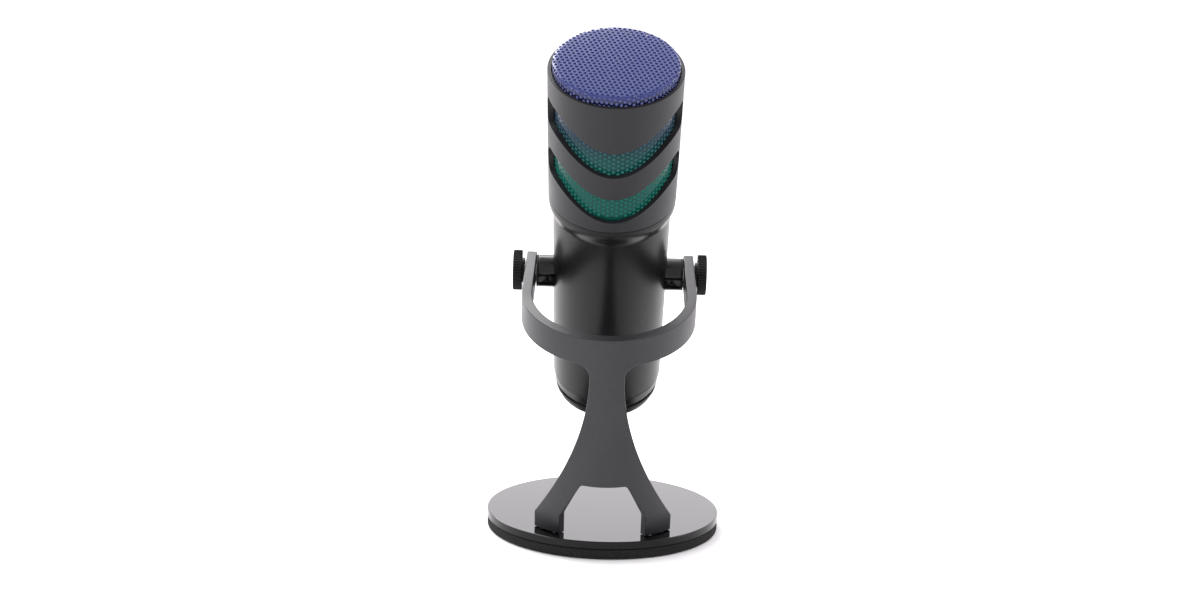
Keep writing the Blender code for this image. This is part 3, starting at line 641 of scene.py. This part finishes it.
def window_edges(angle, window):
    """Lower and upper edge of a window at an angle, the same height where it is closed."""
    middle, half_angle = window
    centre = window_line(angle, middle)
    round_run = math.degrees(WINDOW_HEIGHT / 2.0 / SHELL_RADIUS)
    past = (abs(angle) - (half_angle - round_run)) / round_run
    if past >= 1.0:
        return centre, centre
    half = WINDOW_HEIGHT / 2.0 * math.sqrt(1.0 - max(past, 0.0) ** 2)
    return centre - half, centre + half


def shell_angles():
    """Column angles for a quarter turn from the middle of the rear windows."""
    angles = {0.0, 90.0}
    for step in range(1, 50):
        angles.add(1.5 * step)
    round_run = math.degrees(WINDOW_HEIGHT / 2.0 / SHELL_RADIUS)
    for _, half_angle in (LOWER_WINDOW, UPPER_WINDOW):
        for step in range(1, 13):
            inset = round_run * (1.0 - math.sin(math.radians(7.5 * step)))
            angles.add(round(half_angle - inset, 4))
    kept = []
    for angle in sorted(angles):
        if not kept or angle - kept[-1] > 0.04:
            kept.append(angle)
    kept[-1] = 90.0
    return kept


def shell_column(angle):
    """Heights of the mesh rows at an angle, in bands split by the two windows."""
    low_bottom, low_top = window_edges(angle, LOWER_WINDOW)
    up_bottom, up_top = window_edges(angle, UPPER_WINDOW)
    bands = ((SHELL_LOW, low_bottom, 8), (low_top, up_bottom, 8), (up_top, RIM_SEAT, 6),
             (RIM_SEAT + 0.02, SHELL_TOP, 4))
    return [[low + (high - low) * row / rows for row in range(rows + 1)]
            for low, high, rows in bands]


def add_head_shell():
    """Tapered tube with four wave windows, as an outer and an inner skin joined at every edge."""
    quarter = shell_angles()
    half = quarter + [180.0 - angle for angle in reversed(quarter[:-1])]
    turns = half[:-1] + [angle + 180.0 for angle in half[:-1]]
    points = []
    columns = []
    for turn in turns:
        local = turn if turn <= 90.0 else abs(180.0 - turn) if turn < 270.0 else 360.0 - turn
        bearing = math.radians(turn - 90.0)
        skins = []
        for inner in (False, True):
            bands = []
            for number, rows in enumerate(shell_column(local)):
                band = []
                for height in rows:
                    share = (height - SHELL_LOW) / (SHELL_TOP - SHELL_LOW)
                    radius = SHELL_FOOT_RADIUS + (SHELL_RADIUS - SHELL_FOOT_RADIUS) * share
                    if inner:
                        radius = RIM_BORE if number == 3 else SHELL_BORE
                    band.append(len(points))
                    points.append((radius * math.cos(bearing), radius * math.sin(bearing), height))
                bands.append(band)
            skins.append(bands)
        opened = [window_edges(local, w)[1] - window_edges(local, w)[0] > 1e-6
                  for w in (LOWER_WINDOW, UPPER_WINDOW)]
        columns.append((skins, opened))
    faces = []
    for number, (skins, opened) in enumerate(columns):
        next_skins, next_opened = columns[(number + 1) % len(columns)]
        for skin, next_skin in zip(skins, next_skins):
            for band, next_band in zip(skin, next_skin):
                for row in range(len(band) - 1):
                    faces.append([band[row], next_band[row], next_band[row + 1], band[row + 1]])
            faces.append([skin[2][-1], next_skin[2][-1], next_skin[3][0], skin[3][0]])
        edges = [(0, 0), (3, -1)]
        if opened[0] or next_opened[0]:
            edges += [(0, -1), (1, 0)]
        if opened[1] or next_opened[1]:
            edges += [(1, -1), (2, 0)]
        for band, row in edges:
            faces.append([skins[0][band][row], next_skins[0][band][row],
                          next_skins[1][band][row], skins[1][band][row]])
    shell = build("head_shell_painted", (points, faces), SHELL_PAINT, MIC, MIC_FRAME, ["head_shell"],
                  40.0)
    soft_edges(shell, 0.28)


def soft_edges(piece, width, segments=3):
    """Bevel modifier on the edges that turn sharply, width in millimetres."""
    piece.modifiers.clear()
    modifier = piece.modifiers.new("soft_edges", "BEVEL")
    modifier.width = width * MM
    modifier.segments = segments
    modifier.limit_method = "ANGLE"
    modifier.angle_limit = math.radians(50.0)
    modifier.harden_normals = True


# ---------------------------------------------------------------- perforated sheet

class Sheet:
    """A perforated sheet built cell by cell; place maps (u, v, depth) to a point."""

    def __init__(self, place, turn):
        self.place = place
        self.turn = turn
        self.points = []
        self.outer_faces = []
        self.inner_faces = []
        self.sides = []

    def ring(self, centre, radius, depth, count, offset=0.0):
        """Add the points of a regular polygon and return their numbers."""
        start = len(self.points)
        for step in range(count):
            angle = self.turn + offset + 2.0 * math.pi * step / count
            self.points.append(self.place(centre[0] + radius * math.cos(angle),
                                          centre[1] + radius * math.sin(angle), depth))
        return list(range(start, start + count))

    def cell(self, centre, perforated):
        """One hexagon of sheet, plain or with a hole whose edge is broken."""
        corner_reach = PITCH / math.sqrt(3.0)
        outer = self.ring(centre, corner_reach, 0.0, 6, -math.pi / 6.0)
        inner = self.ring(centre, corner_reach, SHEET, 6, -math.pi / 6.0)
        for side in range(6):
            ahead = (side + 1) % 6
            self.sides.append((outer[side], outer[ahead], inner[ahead], inner[side]))
        if not perforated:
            self.outer_faces.append(outer)
            self.inner_faces.append(inner[::-1])
            return
        lip = self.ring(centre, LIP_RADIUS, 0.0, HOLE_SIDES)
        throat = self.ring(centre, HOLE_RADIUS, LIP_DEPTH, HOLE_SIDES)
        mouth = self.ring(centre, HOLE_RADIUS, SHEET, HOLE_SIDES)
        self.frame_hole(self.outer_faces, outer, lip)
        self.frame_hole(self.inner_faces, inner, mouth)
        for step in range(HOLE_SIDES):
            ahead = (step + 1) % HOLE_SIDES
            self.outer_faces.append([lip[step], lip[ahead], throat[ahead], throat[step]])
            self.inner_faces.append([throat[step], throat[ahead], mouth[ahead], mouth[step]])

    def frame_hole(self, faces, hexagon, circle):
        """Six faces between a cell's outline and its twelve-sided hole."""
        for side in range(6):
            marks = [circle[(2 * side + step) % HOLE_SIDES] for step in (1, 0, -1)]
            faces.append([hexagon[side], hexagon[(side + 1) % 6]] + marks)

    def wall_rims(self):
        """Join the two skins wherever a cell has no neighbour."""
        keys = []
        for first, second, _, _ in self.sides:
            ends = [tuple(round(value, 3) for value in self.points[end]) for end in (first, second)]
            keys.append(tuple(sorted(ends)))
        seen = {}
        for key in keys:
            seen[key] = seen.get(key, 0) + 1
        for key, side in zip(keys, self.sides):
            if seen[key] == 1:
                self.inner_faces.append(list(side))

    def shape(self):
        """All points and faces, with the outside first."""
        self.wall_rims()
        return self.points, self.outer_faces + self.inner_faces


def build_sheet(name, sheet, finish, replaces):
    """Outside in the tinted finish; hole walls and inside with a painted glow standing in for light from the head
    lights.
    """
    lit_from = len(sheet.outer_faces)
    build(name, sheet.shape(), finish, MIC, MIC_FRAME, replaces, 32.0,
          (GRILLE_INSIDE, lit_from))


def drawn_cap(u, v, depth):
    """Map the flat lattice over a drawn cup: flat top, round corner, straight skirt."""
    radius = math.hypot(u, v)
    flat = CAP_RADIUS - CAP_CORNER
    arc = CAP_CORNER * math.pi / 2.0
    if radius <= flat:
        across, height = radius, CAP_TOP - depth
        normal_turn = 0.0
    elif radius <= flat + arc:
        normal_turn = (radius - flat) / CAP_CORNER
        across = flat + (CAP_CORNER - depth) * math.sin(normal_turn)
        height = CAP_TOP - CAP_CORNER + (CAP_CORNER - depth) * math.cos(normal_turn)
    else:
        across = CAP_RADIUS - depth
        height = CAP_TOP - CAP_CORNER - (radius - flat - arc)
    crown = CAP_CROWN * min(radius / flat, 1.0) ** 2
    scale = across / radius if radius > 1e-9 else 0.0
    return (u * scale, v * scale, max(height - crown, CAP_LOW))


def add_hem(name, radius, low, high, finish):
    """Plain folded edge of a perforated sheet."""
    proud = 0.04
    inner = radius - SHEET - proud
    outer = radius + proud
    hem = soften([(inner, low, 0.1), (outer, low, 0.1), (outer, high, 0.1), (inner, high, 0.1)])
    build(name, revolve(hem), finish, MIC, MIC_FRAME, ())


def add_grille_cap():
    """Rows of cells laid flat and drawn over the cap, as far as its hem."""
    reach_out = CAP_RADIUS - CAP_CORNER + CAP_CORNER * math.pi / 2.0
    reach_out += CAP_TOP - CAP_CORNER - CAP_LOW - CAP_HEM
    row_step = PITCH * math.sqrt(3.0) / 2.0
    rows = int(reach_out / row_step) + 1
    sheet = Sheet(drawn_cap, LATTICE_TURN)
    for row in range(-rows, rows + 1):
        for column in range(-rows - 2, rows + 3):
            along = (column + 0.5 * (row % 2)) * PITCH
            across = row * row_step
            u = along * math.cos(LATTICE_TURN) - across * math.sin(LATTICE_TURN)
            v = along * math.sin(LATTICE_TURN) + across * math.cos(LATTICE_TURN)
            if math.hypot(u, v) < reach_out:
                sheet.cell((u, v), True)
    build_sheet("grille_cap_sheet", sheet, CAP_GRILLE, ["grille_cap"])
    top = CAP_LOW + CAP_HEM + PITCH / 2.0
    add_hem("grille_cap_hem", CAP_RADIUS, CAP_LOW, top, CAP_GRILLE)


def sleeve_point(u, v, depth):
    """Wrap the flat lattice around the sleeve; v is the height."""
    angle = u / SLEEVE_RADIUS
    radius = SLEEVE_RADIUS - depth
    return (radius * math.cos(angle), radius * math.sin(angle), v)


def behind_window(u, v, margin=2.4):
    """Whether a place on the sleeve shows through a window."""
    from_rear = (math.degrees(u / SLEEVE_RADIUS) + 90.0) % 180.0
    angle = min(from_rear, 180.0 - from_rear)
    for middle, half_angle in (LOWER_WINDOW, UPPER_WINDOW):
        if angle < half_angle + 4.0:
            if abs(v - window_line(angle, middle)) < WINDOW_HEIGHT / 2.0 + margin:
                return True
    return False


def add_grille_sleeve():
    """Cells in columns around the sleeve, every other column half a pitch higher."""
    columns = 2 * round(math.pi * SLEEVE_RADIUS / (PITCH * math.sqrt(3.0) / 2.0))
    column_step = 2.0 * math.pi * SLEEVE_RADIUS / columns
    rows = int((SLEEVE_TOP - SLEEVE_LOW) / PITCH) - 1
    bottom = (SLEEVE_LOW + SLEEVE_TOP - (rows - 0.5) * PITCH) / 2.0
    sheet = Sheet(sleeve_point, math.pi / 2.0)
    for column in range(columns):
        for row in range(rows):
            u = column * column_step
            v = bottom + (row + 0.5 * (column % 2)) * PITCH
            sheet.cell((u, v), behind_window(u, v))
    build_sheet("grille_sleeve_sheet", sheet, SLEEVE_GRILLE, ["grille_sleeve"])
    overlap = bottom - SLEEVE_LOW + PITCH / 2.0
    ends = (("low", SLEEVE_LOW, SLEEVE_LOW + overlap), ("top", SLEEVE_TOP - overlap, SLEEVE_TOP))
    for end, low, high in ends:
        add_hem(f"grille_sleeve_{end}_hem", SLEEVE_RADIUS, low, high, SLEEVE_GRILLE)


def add_foam():
    """Foam liner: a cup with a slightly uneven, porous skin."""
    outer = FOAM_RADIUS - 0.15
    profile = [(outer, FOAM_LOW + 0.3)]
    steps = 40
    for step in range(1, steps):
        profile.append((outer, FOAM_LOW + 0.3 + (FOAM_TOP - 1.8 - FOAM_LOW) * step / steps))
    profile += round_corner((outer, FOAM_LOW), (outer, FOAM_TOP - 0.2), (0.0, FOAM_TOP - 0.2),
                            1.4, 5)
    profile += [(outer * share / 12.0, FOAM_TOP - 0.2) for share in range(11, 0, -1)]
    profile += [(0.0, FOAM_TOP - 0.2), (0.0, FOAM_TOP - 2.9), (outer - 2.7, FOAM_TOP - 2.9),
                (outer - 2.7, FOAM_LOW + 0.3)]

    def pores(angle, radius):
        wave = math.sin(61.0 * angle) + math.sin(37.0 * angle + 0.6 * radius)
        return radius * (1.0 + 0.0012 * wave)

    foam = build("foam_liner", revolve(profile, 180, pores), FOAM, MIC, MIC_FRAME,
                 ["foam_windscreen"], 60.0)


# ---------------------------------------------------------------- body

def add_body():
    """Tapered tube with a short flare under the head."""
    shelf = NECK_LOW - GAP
    outline = [(BODY_BORE, BODY_LOW, 0.2), (BODY_FOOT_RADIUS, BODY_LOW, 0.3)]
    steps = 14
    for step in range(steps + 1):
        share = step / steps
        widened = (BODY_TOP_RADIUS - BODY_RADIUS) * share * share * (3.0 - 2.0 * share)
        outline.append((BODY_RADIUS + widened, FLARE_START + (FLARE_END - FLARE_START) * share, 0.0))
    outline += [(BODY_TOP_RADIUS, BODY_TOP, 0.25), (SHELL_BORE, BODY_TOP, 0.1),
                (SHELL_BORE, shelf, 0.0), (BODY_BORE, shelf, 0.0)]
    body = build("body_tube_painted", revolve(soften(outline, 4), ROUND), SATIN, MIC, MIC_FRAME,
                 ["body_tube"])
    carve(body, [rod(4.3, -30.0, -15.0), rod(4.3, 15.0, 30.0)], MIC_FRAME @ ALONG_X)
    carve(body, [rod(5.3, 15.0, 30.0)], MIC_FRAME @ at(0, 0, MUTE_HEIGHT) @ ALONG_Y)
    carve(body, [rod(1.5, 15.0, 30.0, 32)], MIC_FRAME @ at(0, 0, LIGHT_HEIGHT) @ ALONG_Y)


def add_tail():
    """Gain ring, and the end cap with its sockets' mouths and screws."""
    profile = soften([(20.2, RING_LOW, 0.1), (RING_RADIUS - 1.2, RING_LOW, 0.1),
                      (RING_RADIUS - 0.5, RING_LOW + 0.8, 0.2), (RING_RADIUS, RING_TOP, 0.3),
                      (20.2, RING_TOP, 0.1)], 4)
    build("gain_ring_painted", revolve(profile, ROUND), SATIN, RING, MIC_FRAME, ["gain_ring"])
    seat = RING_LOW - GAP
    wall_top = reach("end_cap")[2]
    cap = soften([(0.0, TAIL_END, 0.0), (20.6, TAIL_END, 0.6), (21.2, TAIL_END + 2.0, 0.3),
                  (21.2, TAIL_END + 3.0, 0.1), (TAIL_RADIUS, TAIL_END + 3.2, 0.15),
                  (TAIL_RADIUS, seat - 1.0, 0.2), (21.3, seat - 1.0, 0.1), (21.3, seat, 0.1),
                  (19.9, seat, 0.0), (19.9, wall_top, 0.2), (17.6, wall_top, 0.2),
                  (17.6, TAIL_END + 2.4, 0.3), (0.0, TAIL_END + 2.4, 0.0)], 4)
    end_cap = build("end_cap_moulded", revolve(cap, ROUND), BLACK, MIC, MIC_FRAME, ["end_cap"])
    slot = prism(stadium(9.5, 3.8, USB_Y), TAIL_END - 1.0, TAIL_END + 4.0)
    carve(end_cap, [slot])
    carve(end_cap, [rod(3.3, TAIL_END - 1.0, TAIL_END + 4.0, 48)], MIC_FRAME @ at(0, JACK_Y, 0))
    for number in range(3):
        angle = math.pi / 6.0 + 2.0 * math.pi * number / 3.0
        place = MIC_FRAME @ at(TAIL_SCREW_RING * math.cos(angle),
                               TAIL_SCREW_RING * math.sin(angle), 0)
        carve(end_cap, [rod(2.2, TAIL_END - 1.0, TAIL_END + 1.6, 32),
                        rod(1.3, TAIL_END, TAIL_END + 4.0, 24)], place)
        add_tail_screw(number + 1, place)


def add_tail_screw(number, place):
    """Pan-head screw with a cross recess."""
    low = TAIL_END + 0.2
    node = f"tail_screw_{number}"
    top = reach(node)[2]
    profile = soften([(0.0, low, 0.0), (1.9, low, 0.3), (1.9, low + 1.1, 0.1),
                      (1.0, low + 1.1, 0.0), (1.0, top, 0.2), (0.0, top, 0.0)])
    screw = build(f"tail_screw_{number}_turned", revolve(profile, 32), STEEL, MIC, place, [node])
    cross = [prism([(-a, -b), (a, -b), (a, b), (-a, b)], low - 0.5, low + 0.6)
             for a, b in ((1.05, 0.2), (0.2, 1.05))]
    carve(screw, cross, place)


def stadium(width, height, middle_y, segments=12):
    """Outline of a slot with round ends, its long side on X."""
    radius = height / 2.0
    offset = width / 2.0 - radius
    outline = []
    for side, first in ((1, -90.0), (-1, 90.0)):
        for step in range(segments + 1):
            angle = math.radians(first + 180.0 * step / segments)
            outline.append((side * offset + radius * math.cos(angle),
                            middle_y + radius * math.sin(angle)))
    return outline


def add_front_controls():
    """Dished mute button, and the lens of the status light above it."""
    place = MIC_FRAME @ at(0, 0, MUTE_HEIGHT) @ ALONG_Y
    _, low, high = reach("mute_button", place)
    profile = soften([(0.0, low, 0.0), (1.6, low, 0.2), (1.6, low + 5.8, 0.0), (6.2, low + 5.8, 0.1),
                      (6.2, low + 6.5, 0.1), (5.0, low + 6.5, 0.0), (5.0, high, 0.45),
                      (4.0, high - 0.02, 0.3), (3.4, high - 0.25, 0.3), (0.0, high - 0.3, 0.0)], 4)
    build("mute_button_moulded", revolve(profile, 64), BLACK, BUTTON, place, ["mute_button"])
    place = MIC_FRAME @ at(0, 0, LIGHT_HEIGHT) @ ALONG_Y
    _, low, high = reach("light_pipe", place)
    profile = soften([(0.0, low, 0.0), (1.2, low, 0.1), (1.2, high, 0.3), (0.0, high, 0.0)], 4)
    build("light_pipe_lens", revolve(profile, 32), STATUS, MIC, place, ["light_pipe"])


# ---------------------------------------------------------------- pivot

def knurl(angle, radius):
    """Straight ribs on the rim of a thumb knob; the neck and bore stay round."""
    if radius < KNOB_PLAIN_RADIUS:
        return radius
    return radius - 0.22 * (1.0 - math.cos(KNOB_RIBS * angle))


def add_pivot(side, turn):
    """Spacer sleeve, washer and thumb knob of one side."""
    place = MIC_FRAME @ turn
    body = f"{side}_knob"
    _, low, high = reach(f"{side}_spacer_sleeve", place)
    profile = soften([(3.2, low - 3.0, 0.0), (6.8, low - 3.0, 0.0), (6.8, high + 0.2, 0.2),
                      (3.2, high + 0.2, 0.1)])
    sleeve = build(f"{side}_spacer_sleeve_turned", revolve(profile, 96), TURNED, MIC, place,
                   [f"{side}_spacer_sleeve"])
    carve(sleeve, [rod(BODY_SADDLE, -10.0, 10.0, ROUND)])
    _, low, high = reach(f"{side}_friction_washer", place)
    washer = soften([(3.2, low, 0.0), (6.7, low, 0.15), (6.7, high + 0.2, 0.15),
                     (3.2, high + 0.2, 0.0)])
    build(f"{side}_friction_washer_cut", revolve(washer, 64), RUBBER, MIC, place,
          [f"{side}_friction_washer"])
    _, low, high = reach(f"{side}_thumb_knob", place)
    knob = soften([(3.05, low, 0.0), (5.25, low, 0.2), (5.25, low + 1.1, 0.0), (8.4, low + 1.1, 0.35),
                   (8.4, high, 0.5), (6.9, high, 0.2), (6.5, high - 0.35, 0.2),
                   (0.0, high - 0.35, 0.0), (0.0, high - 1.15, 0.0), (3.05, high - 1.15, 0.0)], 4)
    build(f"{side}_thumb_knob_moulded", revolve(knob, KNOB_RIBS * RIB_STEPS, knurl), BLACK, body,
          place, [f"{side}_thumb_knob"], 42.0)


# ---------------------------------------------------------------- looks of the CAD nodes that stay

def dress_nodes():
    """Each node that shows its own CAD shape gets the material of its slot."""
    looks = {
        "dark_paint": SATIN, "stand_paint": POWDER, "base_gloss": LACQUER, "black_rubber": RUBBER,
        "black_plastic": BLACK, "grey_plastic": GREY, "zinc_steel": STEEL, "brass": BRASS,
        "grille_blue": CAP_GRILLE, "grille_teal": SLEEVE_GRILLE, "foam": FOAM, "circuit_board": BOARD,
        "chip": CHIP, "lamp": LAMP, "light_pipe": STATUS,
    }
    for entry in frame["record"]["subparts"]:
        node = frame["nodes"][entry["node"]]
        for material_slot in node.material_slots:
            material_slot.material = looks[entry["material_slot"]]


# ---------------------------------------------------------------- stage

# Radiance of the studio, where 1 is paper white in the picture
FRONT_LIGHT = 1.20
BACK_LIGHT = 2.8
TOP_LIGHT = 7.0
SIDE_LIGHT = 8.0
FLOOR_WHITE = 0.72


def add_floor():
    """Plain white floor."""
    mesh = bpy.data.meshes.new("floor")
    size = 6.0
    depth = -0.0004                      # just under the pad, so the two never flicker
    mesh.from_pydata([(-size, -size, 0.0), (size, -size, 0.0), (size, size, 0.0), (-size, size, 0.0)],
                     [], [[0, 1, 2, 3]])
    material, tree, shader = new_material("studio_floor")
    cloud = noise(tree, 3.0)
    shades = [(0.3, (FLOOR_WHITE,) * 3), (0.7, (FLOOR_WHITE * 1.03,) * 3)]
    tree.links.new(ramp(tree, cloud, shades), shader.inputs["Base Color"])
    shader.inputs["Roughness"].default_value = 0.9
    shader.inputs["Specular IOR Level"].default_value = 0.0
    mesh.materials.append(material)
    floor = bpy.data.objects.new("floor", mesh)
    bpy.context.scene.collection.objects.link(floor)
    floor.location.z = depth


def add_light(name, location, target, size, power):
    """Rectangular softbox aimed at a target."""
    light = bpy.data.lights.new(name, "AREA")
    light.shape = "RECTANGLE"
    light.size, light.size_y = size
    light.energy = power
    lamp = bpy.data.objects.new(name, light)
    bpy.context.scene.collection.objects.link(lamp)
    lamp.location = location
    lamp.rotation_euler = (Vector(target) - Vector(location)).to_track_quat("-Z", "Y").to_euler()


def add_world():
    """White studio: brightest behind the object, dimmer behind the camera."""
    world = bpy.data.worlds.new("studio")
    bpy.context.scene.world = world
    world.use_nodes = True
    tree = world.node_tree
    background = tree.nodes["Background"]
    background.inputs["Color"].default_value = (1.0, 0.965, 1.0, 1.0)
    place = tree.nodes.new("ShaderNodeTexCoord")
    split = tree.nodes.new("ShaderNodeSeparateXYZ")
    tree.links.new(place.outputs["Generated"], split.inputs["Vector"])
    strength = tree.nodes.new("ShaderNodeMapRange")
    strength.inputs["From Min"].default_value = -0.2
    strength.inputs["From Max"].default_value = 0.9
    strength.inputs["To Min"].default_value = FRONT_LIGHT
    strength.inputs["To Max"].default_value = BACK_LIGHT
    tree.links.new(split.outputs["Y"], strength.inputs["Value"])
    tree.links.new(strength.outputs["Result"], background.inputs["Strength"])


def add_studio():
    """Big soft light overhead, behind and a little to the left of the object."""
    add_world()
    centre = (0.0, -0.03, 0.12)
    width, depth = 1.0, 0.9
    power = TOP_LIGHT * math.pi * width * depth
    add_light("top", (-0.50, 0.60, 0.88), centre, (width, depth), power)
    box = 0.35
    power = SIDE_LIGHT * math.pi * box * box
    add_light("left", (-0.85, -0.55, 0.55), centre, (box, box), power)
    add_light("right", (1.00, 0.00, 0.55), centre, (box, box), power)
    view = bpy.context.scene.view_settings
    view.view_transform = "Standard"
    view.look = "None"


def add_camera():
    """Slightly above the base, a little rolled, aimed near the pivot."""
    target = Vector((-0.00373, 0.0, 0.10019))
    distance = 0.86345
    rise = math.radians(10.814)
    roll = math.radians(1.657)
    back = Vector((0.0, -math.cos(rise), math.sin(rise)))
    right = Vector((1.0, 0.0, 0.0))
    up = back.cross(right)
    side = right * math.cos(roll) + up * math.sin(roll)
    top = up * math.cos(roll) - right * math.sin(roll)
    matrix = Matrix((side, top, back)).transposed().to_4x4()
    matrix.translation = target + back * distance
    data = bpy.data.cameras.new("camera")
    data.sensor_width = 36.0
    data.lens = 60.0
    camera = bpy.data.objects.new("camera", data)
    bpy.context.scene.collection.objects.link(camera)
    camera.matrix_world = matrix
    bpy.context.scene.camera = camera


add_base()
add_stand()
add_body()
add_head_shell()
add_grille_cap()
add_grille_sleeve()
add_foam()
add_tail()
add_front_controls()
add_pivot("left", ALONG_MINUS_X)
add_pivot("right", ALONG_X)
dress_nodes()
add_floor()
add_studio()
add_camera()
